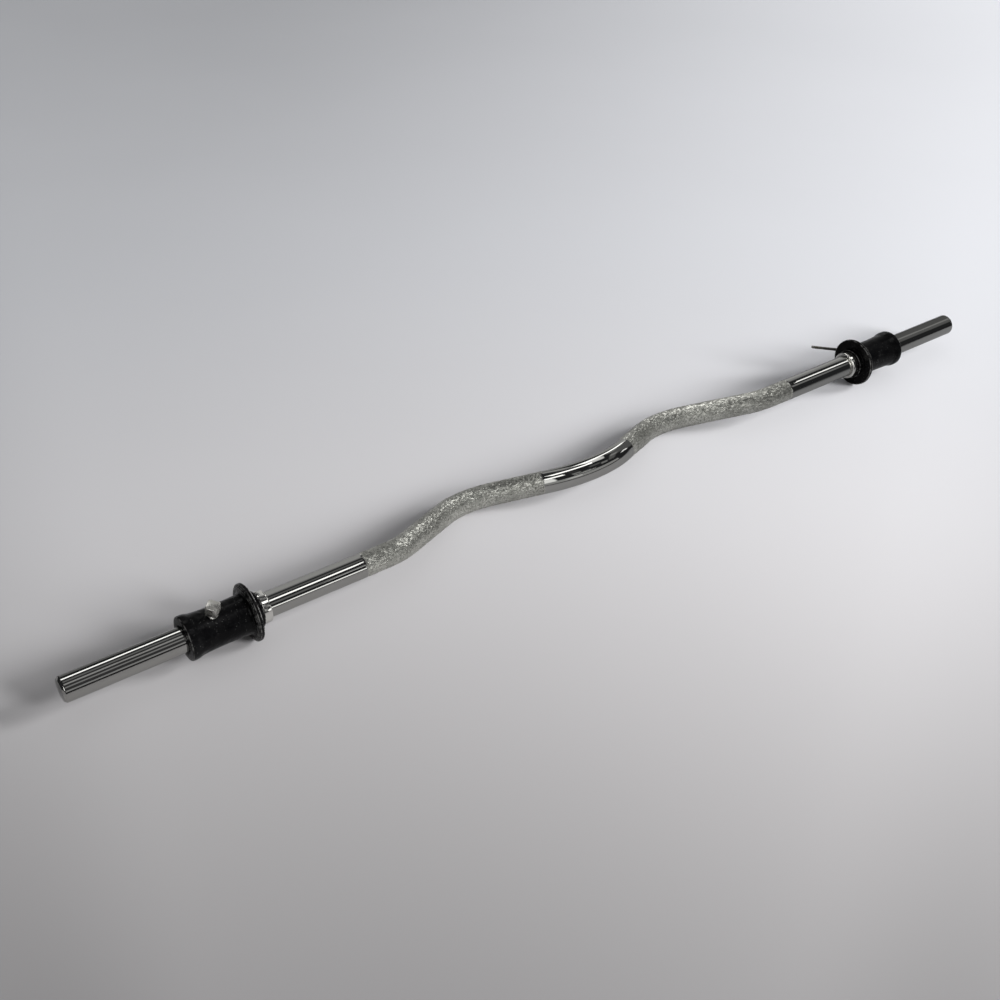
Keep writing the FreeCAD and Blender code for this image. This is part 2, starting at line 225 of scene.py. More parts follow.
class Finish:
    # one material or the world, with a single way of adding nodes

    def __init__(self, owner):
        self.owner = owner
        owner.use_nodes = True
        self.tree = owner.node_tree
        self.tree.nodes.clear()

    def node(self, kind, settings=None, values=None, output=0):
        made = self.tree.nodes.new(kind)
        for key, value in (settings or {}).items():
            setattr(made, key, value)
        for key, value in (values or {}).items():
            if isinstance(value, Sock):
                self.tree.links.new(value.socket, made.inputs[key])
            else:
                made.inputs[key].default_value = value
        if len(made.outputs):
            return Sock(self, made.outputs[output])

    def place(self):
        return self.node("ShaderNodeTexCoord", output="Object")

    def mapped(self, vector, offset=(0, 0, 0), scale=(1, 1, 1), turn=(0, 0, 0)):
        values = {"Vector": vector, "Location": offset, "Scale": scale, "Rotation": turn}
        return self.node("ShaderNodeMapping", None, values)

    def noise(self, vector, scale, detail=2.0, rough=0.5):
        values = {"Vector": vector, "Scale": scale, "Detail": detail, "Roughness": rough}
        return self.node("ShaderNodeTexNoise", None, values)

    def cells(self, vector, scale):
        return self.node("ShaderNodeTexVoronoi", None, {"Vector": vector, "Scale": scale}, "Distance")

    def split(self, vector, axis):
        return self.node("ShaderNodeSeparateXYZ", None, {0: vector}, axis)

    def marked(self, name):
        return self.node("ShaderNodeAttribute", {"attribute_name": name}, None, "Fac")

    def mixed(self, amount, first, second):
        return self.node("ShaderNodeMix", {"data_type": "RGBA"}, {0: amount, 6: first, 7: second}, 2)

    def bump(self, height, distance, strength=1.0, below=None):
        values = {"Height": height, "Distance": distance, "Strength": strength}
        if below is not None:
            values["Normal"] = below
        return self.node("ShaderNodeBump", None, values)

    def surface(self, values):
        shader = self.node("ShaderNodeBsdfPrincipled", None, values)
        self.node("ShaderNodeOutputMaterial", None, {"Surface": shader})
        return self.owner


def newFinish(name):
    return Finish(bpy.data.materials.new(name))


def dress(piece, material, body, node):
    piece.data.materials.clear()
    piece.data.materials.append(material)
    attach(piece, body)
    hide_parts(node)


# finishes; a noise is named by its scale, detail and roughness

edgeTint = (0.7, 0.7, 0.7, 1)


def makeBarChrome():
    look = {
        "chrome": (0.423, 0.421, 0.402, 1), "grip": (0.64, 0.64, 0.588, 1), "grime": (0.07, 0.069, 0.059, 1),
        "handling": (38.0, 4.0, 0.6), "glitter": (520.0, 2.0, 0.7), "pitCells": 260.0,
        "hazeScale": (30, 420, 420), "scuffScale": (14, 2600, 2600),
        "sleeve": (0.483, 0.503), "gripScatter": 0.08,
    }
    f = newFinish("bar_chrome_finish")
    here = f.place()
    grip = f.marked("knurl")
    groove = f.marked("groove")
    handling = f.noise(here, *look["handling"])
    haze = f.noise(f.mapped(here, scale=look["hazeScale"]), 1.0, 3.0)
    # plates sliding on and off leave fine lines along the ends
    scuffs = f.noise(f.mapped(here, scale=look["scuffScale"]), 1.0, 2.0).ramp(0.56, 0.72)
    sleeve = abs(f.split(here, "X")).ramp(*look["sleeve"])
    scuffs = scuffs * sleeve * handling.ramp(0.35, 0.7)
    pits = (1 - f.cells(here, look["pitCells"]).ramp(0.03, 0.07)) * (1 - grip)
    # single diamonds are polished or dirty, so the grip glitters
    glitter = f.noise(here, *look["glitter"])
    grime = groove * (0.25 + 0.75 * handling.ramp(0.3, 0.65)) + grip * glitter.ramp(0.5, 0.64) * 0.8
    tone = f.mixed(grip, look["chrome"], look["grip"])
    tone = f.mixed((grime * 0.55 + pits * 0.5).clamped(), tone, look["grime"])
    rough = 0.03 + handling * 0.035 + scuffs * 0.16 + pits * 0.3 + grip * (0.14 + glitter * 0.2)
    ripple = f.bump(haze, 0.02 * mm, 0.25)
    ripple = f.bump(scuffs, 0.02 * mm, 0.4, ripple)
    # the worn grip scatters part of the light
    shine = 1 - grip * look["gripScatter"]
    return f.surface({"Base Color": tone, "Metallic": shine, "Roughness": rough, "Normal": ripple,
                      "Specular Tint": edgeTint})


def makeRingChrome():
    look = {
        "chrome": (0.82, 0.808, 0.768, 1), "dull": (0.3, 0.295, 0.278, 1), "handling": (120.0, 4.0, 0.6),
        "latheScale": (5200, 30, 30), "pitCells": 420.0, "waves": (90.0, 2.0),
    }
    f = newFinish("ring_chrome_finish")
    here = f.place()
    handling = f.noise(here, *look["handling"])
    # lathe lines run round the ring
    lathe = f.noise(f.mapped(here, scale=look["latheScale"]), 1.0, 2.0)
    pits = 1 - f.cells(here, look["pitCells"]).ramp(0.03, 0.08)
    tone = f.mixed((pits * 0.6 + handling.ramp(0.55, 0.8) * 0.25).clamped(), look["chrome"], look["dull"])
    rough = 0.08 + handling * 0.09 + pits * 0.3
    ripple = f.bump(lathe, 0.03 * mm, 0.3)
    ripple = f.bump(f.noise(here, *look["waves"]), 0.2 * mm, 0.35, ripple)
    return f.surface({"Base Color": tone, "Metallic": 1.0, "Roughness": rough, "Normal": ripple,
                      "Specular Tint": edgeTint})


def makeCollarPaint():
    look = {
        "paint": (0.0014, 0.0014, 0.0016, 1), "worn": (0.004, 0.004, 0.0042, 1),
        # the light speck colour is dust and also a painted highlight
        "dustAndGlint": (0.16, 0.16, 0.153, 1), "rubbed": (0.16, 0.158, 0.152, 1), "iron": (0.24, 0.235, 0.225, 1),
        "patch": (55.0, 4.0, 0.6), "peel": (330.0, 3.0, 0.55), "grain": (1500.0, 3.0, 0.6),
        "lumps": (120.0, 2.0), "scatter": (230.0, 4.0, 0.65), "speckCells": 480.0, "gloss": 0.085,
    }
    f = newFinish("collar_paint_finish")
    here = f.place()
    edge = f.marked("edge")
    patch = f.noise(here, *look["patch"])
    peel = f.noise(here, *look["peel"])
    grain = f.noise(here, *look["grain"])
    lumps = f.noise(here, *look["lumps"])
    scatter = f.noise(here, *look["scatter"])
    # light specks in patches: dust, and a painted highlight that stands in for mottled glints on the rough
    # paint
    dustAndGlintSpecks = (1 - f.cells(here, look["speckCells"]).ramp(0.06, 0.16)) * patch.ramp(0.42, 0.6)
    # the paint is rubbed thin along the turned edges and chipped in places
    rubbed = edge * scatter.ramp(0.38, 0.62)
    chips = edge * scatter.ramp(0.63, 0.68)
    tone = f.mixed(patch.ramp(0.35, 0.75), look["paint"], look["worn"])
    tone = f.mixed(dustAndGlintSpecks * 0.85, tone, look["dustAndGlint"])
    tone = f.mixed(rubbed * 0.8, tone, look["rubbed"])
    tone = f.mixed(chips, tone, look["iron"])
    rough = (0.15 + patch * 0.16 + dustAndGlintSpecks * 0.25 + rubbed * 0.12).clamped()
    relief = f.bump(lumps, 1.4 * mm, 0.5)
    relief = f.bump(peel, 0.4 * mm, 0.7, relief)
    relief = f.bump(grain, 0.06 * mm, 0.4, relief)
    relief = f.bump(1 - chips, 0.12 * mm, 0.6, relief)
    return f.surface({"Base Color": tone, "Metallic": chips * 0.9, "Roughness": rough, "Normal": relief,
                      "Specular IOR Level": look["gloss"]})


def makeScrewZinc():
    look = {
        "zinc": (0.6, 0.59, 0.555, 1), "dull": (0.42, 0.41, 0.38, 1), "oil": (0.12, 0.115, 0.1, 1),
        "patch": (260.0, 4.0, 0.6), "grain": (1900.0, 3.0, 0.6), "stains": (620.0, 3.0, 0.6),
        "dentCells": 430.0,
    }
    f = newFinish("screw_zinc_finish")
    here = f.place()
    patch = f.noise(here, *look["patch"])
    grain = f.noise(here, *look["grain"])
    dents = 1 - f.cells(here, look["dentCells"]).ramp(0.0, 0.55)
    stains = f.noise(here, *look["stains"]).ramp(0.6, 0.8)
    tone = f.mixed(patch.ramp(0.4, 0.7), look["zinc"], look["dull"])
    tone = f.mixed(stains * 0.45, tone, look["oil"])
    # old zinc plate turns chalky, so part of it scatters light like paint
    shine = 0.95 - patch.ramp(0.35, 0.65) * 0.2
    rough = 0.2 + patch * 0.15 + stains * 0.12
    relief = f.bump(dents, 0.2 * mm, 0.15)
    relief = f.bump(grain, 0.03 * mm, 0.35, relief)
    return f.surface({"Base Color": tone, "Metallic": shine, "Roughness": rough, "Normal": relief})


def makeTommySteel():
    look = {
        "steel": (0.42, 0.41, 0.385, 1), "brown": (0.2, 0.165, 0.125, 1), "patch": (180.0, 4.0, 0.6),
        "lineTurn": (0.32, 0.0, -0.11), "lineScale": (60, 3200, 3200),
    }
    f = newFinish("tommy_steel_finish")
    here = f.place()
    patch = f.noise(here, *look["patch"])
    # drawn rod: fine lines along it, tarnished between the bright rubbed places
    along = f.mapped(here, turn=look["lineTurn"], scale=look["lineScale"])
    lines = f.noise(along, 1.0, 2.0)
    tarnish = patch.ramp(0.42, 0.62)
    tone = f.mixed(tarnish * 0.7, look["steel"], look["brown"])
    rough = 0.24 + tarnish * 0.22 + lines * 0.08
    relief = f.bump(lines, 0.04 * mm, 0.5)
    return f.surface({"Base Color": tone, "Metallic": 1.0, "Roughness": rough, "Normal": relief})


barChrome = makeBarChrome()
ringChrome = makeRingChrome()
collarPaint = makeCollarPaint()
screwZinc = makeScrewZinc()
tommySteel = makeTommySteel()
print("finishes made:", len(bpy.data.materials))


# the bar, half of it drawn in its own plane and mirrored

curlBar = {
    "halfLength": 597 * mm, "radius": 12.7 * mm, "endChamfer": 2.2 * mm, "endEase": 0.35 * mm,
    "around": 80, "straightStart": 269.5 * mm, "outerBend": 70 * mm,
    "crestPlace": 138.5 * mm, "crestHeight": 52 * mm, "crestBend": 70 * mm,
    "valleyHeight": 6 * mm, "valleyBend": 118 * mm,
    "gripOuter": 296 * mm, "gripInner": 57 * mm, "gripStep": 1.72 * mm, "grooveDepth": 0.2 * mm,
    "wearDepth": 0.09 * mm, "wearRounds": 3, "wearShare": 0.5, "wearSeed": 5,
    "guard": 1.2 * mm, "plainSteps": 2, "valleySteps": 22, "easeParts": 3, "smooth": 21,
}


def barRoute(bar):
    # the half's runs and turns in order from the left end
    outerCentre = Vector((-bar["straightStart"], bar["outerBend"], 0))
    crestCentre = Vector((-bar["crestPlace"], bar["crestHeight"] - bar["crestBend"], 0))
    valleyCentre = Vector((0, bar["valleyHeight"] + bar["valleyBend"], 0))

    def legBetween(first, firstBend, second, secondBend):
        gap = second - first
        reach = firstBend + secondBend
        lift = math.asin(reach / gap.length) - math.atan2(abs(gap.y), abs(gap.x))
        return lift, math.sqrt(gap.length_squared - reach * reach)

    outerTurn, outerLeg = legBetween(outerCentre, bar["outerBend"], crestCentre, bar["crestBend"])
    innerTurn, innerLeg = legBetween(crestCentre, bar["crestBend"], valleyCentre, bar["valleyBend"])
    legStart = -bar["valleyBend"] * math.sin(innerTurn)
    plainLeg = (bar["gripInner"] + legStart) / math.cos(innerTurn)
    outerRun = bar["gripOuter"] - bar["straightStart"]
    innerRun = innerLeg - plainLeg
    step = bar["gripStep"]
    start = bar["halfLength"] - bar["endChamfer"]
    return [
        {"kind": "run", "length": bar["guard"], "steps": 1, "grip": False},
        {"kind": "run", "length": start - bar["gripOuter"] - 2 * bar["guard"], "steps": 1, "grip": False},
        {"kind": "run", "length": bar["guard"], "steps": 1, "grip": False},
        {"kind": "run", "length": outerRun, "steps": round(outerRun / step), "grip": True},
        {"kind": "turn", "centre": outerCentre, "bend": bar["outerBend"], "turn": outerTurn,
         "steps": round(bar["outerBend"] * outerTurn / step), "grip": True},
        {"kind": "run", "length": outerLeg, "steps": round(outerLeg / step), "grip": True},
        {"kind": "turn", "centre": crestCentre, "bend": bar["crestBend"], "turn": -outerTurn - innerTurn,
         "steps": round(bar["crestBend"] * (outerTurn + innerTurn) / step), "grip": True},
        {"kind": "run", "length": innerRun, "steps": round(innerRun / step), "grip": True},
        {"kind": "run", "length": bar["guard"], "steps": 1, "grip": False},
        {"kind": "run", "length": plainLeg - bar["guard"], "steps": bar["plainSteps"], "grip": False},
        {"kind": "turn", "centre": valleyCentre, "bend": bar["valleyBend"], "turn": innerTurn,
         "steps": bar["valleySteps"], "grip": False},
    ]


def gripPlace(part, point, around):
    # a vertex's ring along a grip part and its number round the bar, or nothing if it lies elsewhere
    slack = 2 * hair
    turnSlack = 0.002
    widest = 20 * mm
    if part["kind"] == "run":
        off = point - part["start"]
        along = off.dot(part["heading"])
        if not -slack < along < part["length"] + slack:
            return None
        side = off.y * part["heading"].x - off.x * part["heading"].y
        ring = along / part["length"] * part["steps"]
    else:
        off = point - part["centre"]
        first = part["start"] - part["centre"]
        across = first.x * off.y - first.y * off.x
        angle = math.atan2(across, first.x * off.x + first.y * off.y)
        share = angle / part["turn"]
        if not -turnSlack < share < 1 + turnSlack:
            return None
        side = part["bend"] - math.hypot(off.x, off.y)
        if part["turn"] < 0:
            side = -side
        ring = share * part["steps"]
    if abs(side) > widest:
        return None
    return part["firstRing"] + round(ring), round(math.atan2(point.z, side) / fullTurn * around)


def makeBar(bar):
    radius = bar["radius"]
    faceRadius = radius - bar["endChamfer"]
    putAway()
    bpy.ops.mesh.primitive_circle_add(vertices=bar["around"], radius=faceRadius, fill_type="NGON",
                                      location=(-bar["halfLength"], 0, 0), rotation=(0, -math.pi / 2, 0))
    piece = nameIt("curl_bar_body")
    bpy.ops.object.transform_apply(location=True, rotation=True, scale=True)
    editAll("EDGE")
    bpy.ops.mesh.region_to_loop()
    bpy.ops.mesh.extrude_edges_move(TRANSFORM_OT_translate={"value": (bar["endChamfer"], 0, 0)})
    spot = Vector((-bar["halfLength"] + bar["endChamfer"], 0, 0))
    widen = radius / faceRadius
    bpy.ops.transform.resize(value=(1, widen, widen), center_override=spot)

    heading = Vector((1, 0, 0))
    ringCount = 0
    route = barRoute(bar)
    for part in route:
        part["start"] = spot.copy()
        part["heading"] = heading.copy()
        part["firstRing"] = ringCount
        ringCount += part["steps"]
        if part["kind"] == "run":
            stride = heading * (part["length"] / part["steps"])
            bpy.ops.mesh.extrude_repeat(steps=part["steps"], offset=stride)
            spot = spot + heading * part["length"]
        else:
            # spin counts its angle the other way
            bpy.ops.mesh.spin(steps=part["steps"], angle=-part["turn"],
                              center=part["centre"], axis=(0, 0, 1))
            swing = Matrix.Rotation(part["turn"], 3, "Z")
            spot = part["centre"] + swing @ (spot - part["centre"])
            heading = swing @ heading
    bpy.ops.object.mode_set(mode="OBJECT")
    print("bar half ends at", [round(value, 6) for value in spot], "rings", ringCount)
    closeUp()

    # diamond knurl: every other vertex of the grip is pressed in
    knurl = piece.data.attributes.new("knurl", "FLOAT", "POINT")
    groove = piece.data.attributes.new("groove", "FLOAT", "POINT")
    grips = [part for part in route if part["grip"]]
    firstRing = grips[0]["firstRing"]
    lastRing = grips[-1]["firstRing"] + grips[-1]["steps"]
    inGrip = {}
    pressed = set()
    for vert in piece.data.vertices:
        for part in grips:
            spotOn = gripPlace(part, vert.co, bar["around"])
            if spotOn is not None:
                ring, number = spotOn
                inGrip[vert.index] = ring
                if firstRing < ring < lastRing and (ring + number) % 2:
                    pressed.add(vert.index)
                break
    for index, ring in inGrip.items():
        knurl.data[index].value = 1.0 if firstRing < ring < lastRing else 0.0
    for index in pressed:
        groove.data[index].value = 1.0
    pickVerts(piece, lambda vert: vert.index in pressed)
    bpy.ops.transform.shrink_fatten(value=-bar["grooveDepth"])
    # worn unevenly, so that no two diamonds catch the light alike
    inside = [index for index, ring in inGrip.items() if firstRing < ring < lastRing]
    chance = random.Random(bar["wearSeed"])
    for wear in range(bar["wearRounds"]):
        worn = {index for index in inside if chance.random() < bar["wearShare"]}
        pickVerts(piece, lambda vert: vert.index in worn)
        bpy.ops.transform.shrink_fatten(value=-bar["wearDepth"])
    pickVerts(piece, lambda vert: vert.index in inGrip)
    bpy.ops.mesh.quads_convert_to_tris(quad_method="SHORTEST_DIAGONAL")
    print("knurl points", len(pressed), "of", len(inGrip))

    # the end chamfer's two edges are eased
    def onChamfer(vert):
        return vert.co.x < -bar["halfLength"] + bar["endChamfer"] + hair
    pickVerts(piece, onChamfer)
    bpy.ops.mesh.select_mode(type="EDGE")
    bpy.ops.object.mode_set(mode="OBJECT")
    for edge in piece.data.edges:
        ends = [piece.data.vertices[index].co for index in edge.vertices]
        edge.select = edge.select and abs(ends[0].x - ends[1].x) < hair
    bpy.ops.object.mode_set(mode="EDIT")
    bpy.ops.mesh.bevel(offset=bar["endEase"], segments=bar["easeParts"], affect="EDGES")
    bpy.ops.object.mode_set(mode="OBJECT")

    takeUp(piece)
    mirror = piece.modifiers.new("mirror", "MIRROR")
    mirror.use_axis = (True, False, False)
    mirror.use_mirror_merge = True
    mirror.merge_threshold = hair
    bpy.ops.object.modifier_apply(modifier=mirror.name)
    closeUp()
    # the crests lean over until they rest on the floor
    lean = math.asin((axisZ - radius) / bar["crestHeight"])
    settle(piece, tilt=-lean, place=onAxis)
    smoothBy(piece, bar["smooth"])
    return piece


bar = makeBar(curlBar)
dress(bar, barChrome, "bar", "curl_bar")
print("bar made:", len(bar.data.polygons), "faces")


# stop rings

stopRing = {
    "from": 399.5 * mm, "length": 9 * mm, "bore": 12.7 * mm, "radius": 16.2 * mm, "steps": 112,
    "edge": 1.6 * mm, "edgeParts": 7, "boreEdge": 0.35 * mm, "boreParts": 2, "smooth": 32,
}


def makeStopRing(name, ring, side):
    inner = side * ring["from"]
    outer = side * (ring["from"] + ring["length"])
    corners = [(inner, ring["bore"]), (inner, ring["radius"]), (outer, ring["radius"]), (outer, ring["bore"])]
    piece = drawOutline(name, corners)
    fillOutline()
    for corner in corners[1:3]:
        roundCorner(piece, corner, ring["edge"], ring["edgeParts"])
    for corner in (corners[0], corners[3]):
        roundCorner(piece, corner, ring["boreEdge"], ring["boreParts"])
    spinOutline(ring["steps"], (1, 0, 0))
    settle(piece, place=onAxis)
    smoothBy(piece, ring["smooth"])
    return piece


for side, hand in ((-1, "left"), (1, "right")):
    ring = makeStopRing(hand + "_ring_body", stopRing, side)
    dress(ring, ringChrome, "bar", hand + "_stop_ring")
print("stop rings made")


# spool collars

collar = {
    "from": 408.5 * mm, "bore": 13.0 * mm, "mouth": 1.2 * mm, "hub": (6.5 * mm, 18 * mm),
    "flange": (10.7 * mm, 29 * mm), "ridges": ((11.4 * mm, 27.6 * mm), (12.1 * mm, 26.2 * mm)),
    "neck": 20.4 * mm, "waist": 0.9 * mm, "flareFrom": 62.5 * mm, "lip": (67.5 * mm, 22 * mm), "end": 74 * mm,
    # a round is its size and how many parts it has
    "rimRound": (1.2 * mm, 5), "neckRound": (2.5 * mm, 6), "lipRound": (1.5 * mm, 6),
    "ridgeRound": (0.3 * mm, 3), "hubRound": (0.8 * mm, 3), "hubRoot": (1.0 * mm, 4),
    "lipRoot": (1.4 * mm, 4), "flareRoot": (2.2 * mm, 4),
    "rimWear": 0.9 * mm, "ridgeWear": 0.4 * mm, "lipWear": 1.1 * mm, "hubWear": 0.7 * mm,
    "neckParts": 16, "holePlace": 453.5 * mm, "holeRadius": 4.8 * mm, "holeSides": 56, "drillLength": 18 * mm,
    "steps": 132, "smooth": 34,
}
setScrew = {
    "left": {"tilt": math.radians(16), "turn": math.radians(43)},
    "right": {"tilt": math.radians(-107), "turn": math.radians(200)},
}


def neckCurve(shape):
    # shallow waist between the flange and the flare
    first = shape["ridges"][-1][0]
    span = shape["flareFrom"] - first
    points = []
    for count in range(1, shape["neckParts"]):
        share = count / shape["neckParts"]
        points.append((first + span * share, shape["neck"] - shape["waist"] * 4 * share * (1 - share)))
    return points


def makeCollar(name, shape, side, screw):
    hubEnd, hubRadius = shape["hub"]
    flangeEnd, flangeRadius = shape["flange"]
    (ridgeEnd, ridgeTop), (neckStart, ridgeLow) = shape["ridges"]
    lipStart, lipRadius = shape["lip"]
    boreMouth = shape["bore"] + shape["mouth"]
    outline = [(0, boreMouth), (0, hubRadius), (hubEnd, hubRadius), (hubEnd, flangeRadius),
               (flangeEnd, flangeRadius), (flangeEnd, ridgeTop), (ridgeEnd, ridgeTop), (ridgeEnd, ridgeLow),
               (neckStart, ridgeLow), (neckStart, shape["neck"])]
    outline += neckCurve(shape)
    outline += [(shape["flareFrom"], shape["neck"]), (lipStart, lipRadius), (shape["end"], lipRadius),
                (shape["end"], boreMouth), (shape["end"] - shape["mouth"], shape["bore"]),
                (shape["mouth"], shape["bore"])]

    def put(corner):
        return side * (shape["from"] + corner[0]), corner[1]

    piece = drawOutline(name, [put(corner) for corner in outline])
    fillOutline()
    rounds = [((hubEnd, flangeRadius), "rimRound"), ((flangeEnd, flangeRadius), "rimRound"),
              ((neckStart, shape["neck"]), "neckRound"), ((shape["end"], lipRadius), "lipRound"),
              ((0, hubRadius), "hubRound"), ((hubEnd, hubRadius), "hubRoot"),
              ((lipStart, lipRadius), "lipRoot"), ((shape["flareFrom"], shape["neck"]), "flareRoot"),
              ((flangeEnd, ridgeTop), "ridgeRound"), ((ridgeEnd, ridgeTop), "ridgeRound"),
              ((ridgeEnd, ridgeLow), "ridgeRound"), ((neckStart, ridgeLow), "ridgeRound")]
    for corner, kind in rounds:
        roundCorner(piece, put(corner), *shape[kind])
    spinOutline(shape["steps"], (1, 0, 0))

    # the edges where paint wears first
    worn = [put(corner) + (shape[kind],) for corner, kind in (
        ((hubEnd, flangeRadius), "rimWear"), ((flangeEnd, flangeRadius), "rimWear"),
        ((ridgeEnd, ridgeTop), "ridgeWear"), ((neckStart, ridgeLow), "ridgeWear"),
        ((shape["end"], lipRadius), "lipWear"), ((0, hubRadius), "hubWear"))]
    edge = piece.data.attributes.new("edge", "FLOAT", "POINT")
    for vert in piece.data.vertices:
        out = math.hypot(vert.co.y, vert.co.z)
        if any(math.hypot(vert.co.x - x, out - r) < reach for x, r, reach in worn):
            edge.data[vert.index].value = 1.0

    # tapped hole for the set screw
    putAway()
    bpy.ops.mesh.primitive_cylinder_add(vertices=shape["holeSides"], radius=shape["holeRadius"],
                                        depth=shape["drillLength"], location=(0, 0, shape["drillLength"]))
    drill = nameIt("drill")
    bpy.ops.object.transform_apply(location=True, rotation=True, scale=True)
    settle(drill, tilt=screw["tilt"], place=(side * shape["holePlace"], 0, 0))
    useTool(piece, drill, "DIFFERENCE")
    closeUp()
    settle(piece, place=onAxis)
    smoothBy(piece, shape["smooth"])
    return piece


for side, hand in ((-1, "left"), (1, "right")):
    spool = makeCollar(hand + "_collar_body", collar, side, setScrew[hand])
    dress(spool, collarPaint, hand + "_collar", hand + "_collar")
    print(hand, "collar made:", len(spool.data.polygons), "faces")


# set screws

screwShape = {
    "tip": 12.8 * mm, "crest": 4.75 * mm, "root": 3.95 * mm, "pitch": 1.5 * mm, "tipChamfer": 1.2 * mm,
    "headBase": 22.9 * mm, "headTop": 33.9 * mm, "headWidth": 11.2 * mm, "crownRadius": 6.2 * mm,
    "crownSlope": math.radians(30), "cornerRound": 0.5 * mm, "edge": 0.28 * mm,
    "crossHole": 31.0 * mm, "crossRadius": 1.75 * mm, "crossSides": 36, "stepsPerTurn": 44, "turns": 12,
    "bury": 0.4 * mm, "crownReach": 11 * mm, "crownBelow": 2 * mm, "crownSteps": 72,
    "cornerParts": 3, "edgeParts": 2, "edgeAngle": 24, "smooth": 30,
}


def makeThread(screw):
    pitch = screw["pitch"]
    # one tooth: how far out and how far up, as shares of its depth and of the pitch
    tooth = [(0.0, 0.0), (0.0, 0.12), (0.8, 0.42), (1.0, 0.5),
             (1.0, 0.58), (0.8, 0.66), (0.0, 0.96), (0.0, 1.0)]
    depth = screw["crest"] - screw["root"]
    below = screw["tip"] - 2 * pitch
    corners = [(screw["root"] + depth * out, below + pitch * up) for out, up in tooth]
    piece = drawOutline("thread", corners)
    bpy.ops.object.mode_set(mode="OBJECT")
    takeUp(piece)
    wind = piece.modifiers.new("wind", "SCREW")
    wind.axis = "Z"
    wind.angle = fullTurn
    wind.screw_offset = pitch
    wind.iterations = screw["turns"]
    wind.steps = screw["stepsPerTurn"]
    wind.render_steps = screw["stepsPerTurn"]
    wind.use_merge_vertices = True
    wind.merge_threshold = weld
    bpy.ops.object.modifier_apply(modifier=wind.name)
    closeUp()
    for height, facing in ((screw["tip"], -1), (screw["headBase"] + screw["bury"], 1)):
        editAll()
        bpy.ops.mesh.bisect(plane_co=(0, 0, height), plane_no=(0, 0, facing),
                            use_fill=True, clear_outer=True)
        bpy.ops.object.mode_set(mode="OBJECT")
    # the tip is turned down to a chamfer
    for vert in piece.data.vertices:
        rise = vert.co.z - screw["tip"]
        limit = screw["crest"] - screw["tipChamfer"] + rise
        out = math.hypot(vert.co.x, vert.co.y)
        if out > limit:
            vert.co.x *= limit / out
            vert.co.y *= limit / out
    closeUp()
    return piece


def makeScrew(name, screw):
    height = screw["headTop"] - screw["headBase"]
    middle = (screw["headTop"] + screw["headBase"]) / 2
    width = screw["headWidth"]
    putAway()
    bpy.ops.mesh.primitive_cube_add(size=1, location=(0, 0, middle), scale=(width, width, height))
    piece = nameIt(name)
    bpy.ops.object.transform_apply(location=True, rotation=True, scale=True)
    # the four upright edges are rounded
    editAll("EDGE")
    bpy.ops.object.mode_set(mode="OBJECT")
    for edge in piece.data.edges:
        ends = [piece.data.vertices[index].co for index in edge.vertices]
        edge.select = abs(ends[0].z - ends[1].z) > height / 2
    bpy.ops.object.mode_set(mode="EDIT")
    bpy.ops.mesh.bevel(offset=screw["cornerRound"], segments=screw["cornerParts"], affect="EDGES")
    bpy.ops.object.mode_set(mode="OBJECT")

    # crowned top
    far = screw["crownReach"]
    below = screw["headBase"] - screw["crownBelow"]
    fall = (far - screw["crownRadius"]) * math.tan(screw["crownSlope"])
    crown = drawOutline("crown", [(0, below), (far, below), (far, screw["headTop"] - fall),
                                  (screw["crownRadius"], screw["headTop"]), (0, screw["headTop"])])
    bpy.ops.mesh.select_all(action="SELECT")
    bpy.ops.mesh.spin(steps=screw["crownSteps"], angle=fullTurn, center=(0, 0, 0), axis=(0, 0, 1))
    closeUp()
    useTool(piece, crown, "INTERSECT")
    easeEdges(piece, screw["edge"], screw["edgeParts"], screw["edgeAngle"])

    putAway()
    bpy.ops.mesh.primitive_cylinder_add(vertices=screw["crossSides"], radius=screw["crossRadius"],
                                        depth=2 * width, location=(0, 0, screw["crossHole"]),
                                        rotation=(0, math.pi / 2, 0))
    drill = nameIt("cross_drill")
    bpy.ops.object.transform_apply(location=True, rotation=True, scale=True)
    useTool(piece, drill, "DIFFERENCE")
    useTool(piece, makeThread(screw), "UNION")
    closeUp()
    return piece


for side, hand in ((-1, "left"), (1, "right")):
    screw = makeScrew(hand + "_screw_body", screwShape)
    station = (side * collar["holePlace"], axisY, axisZ)
    settle(screw, setScrew[hand]["turn"], setScrew[hand]["tilt"], station)
    smoothBy(screw, screwShape["smooth"])
    dress(screw, screwZinc, hand + "_set_screw", hand + "_set_screw")
    print(hand, "set screw made:", len(screw.data.polygons), "faces")


# tommy bar in the right screw's head

tommyShape = {
    "radius": 1.7 * mm, "tail": 17 * mm, "reach": 79 * mm, "chamfer": 0.5 * mm, "around": 40,
    "edge": 0.12 * mm, "edgeParts": 2, "edgeAngle": 30, "smooth": 30,
}


def makeTommy(rod, height):
    putAway()
    bpy.ops.mesh.primitive_circle_add(vertices=rod["around"], radius=rod["radius"] - rod["chamfer"],
                                      fill_type="NGON", location=(-rod["tail"], 0, height),
                                      rotation=(0, -math.pi / 2, 0))
    piece = nameIt("tommy_bar_body")
    bpy.ops.object.transform_apply(location=True, rotation=True, scale=True)
    editAll("EDGE")
    bpy.ops.mesh.region_to_loop()
    length = rod["tail"] + rod["reach"]
    place = -rod["tail"]
    narrow = (rod["radius"] - rod["chamfer"]) / rod["radius"]
    plain = length - 2 * rod["chamfer"]
    for stride, size in ((rod["chamfer"], 1 / narrow), (plain, 1), (rod["chamfer"], narrow)):
        bpy.ops.mesh.extrude_edges_move(TRANSFORM_OT_translate={"value": (stride, 0, 0)})
        place += stride
        bpy.ops.transform.resize(value=(1, size, size), center_override=(place, 0, height))
    bpy.ops.mesh.edge_face_add()
    closeUp()
    easeEdges(piece, rod["edge"], rod["edgeParts"], rod["edgeAngle"])
    return piece


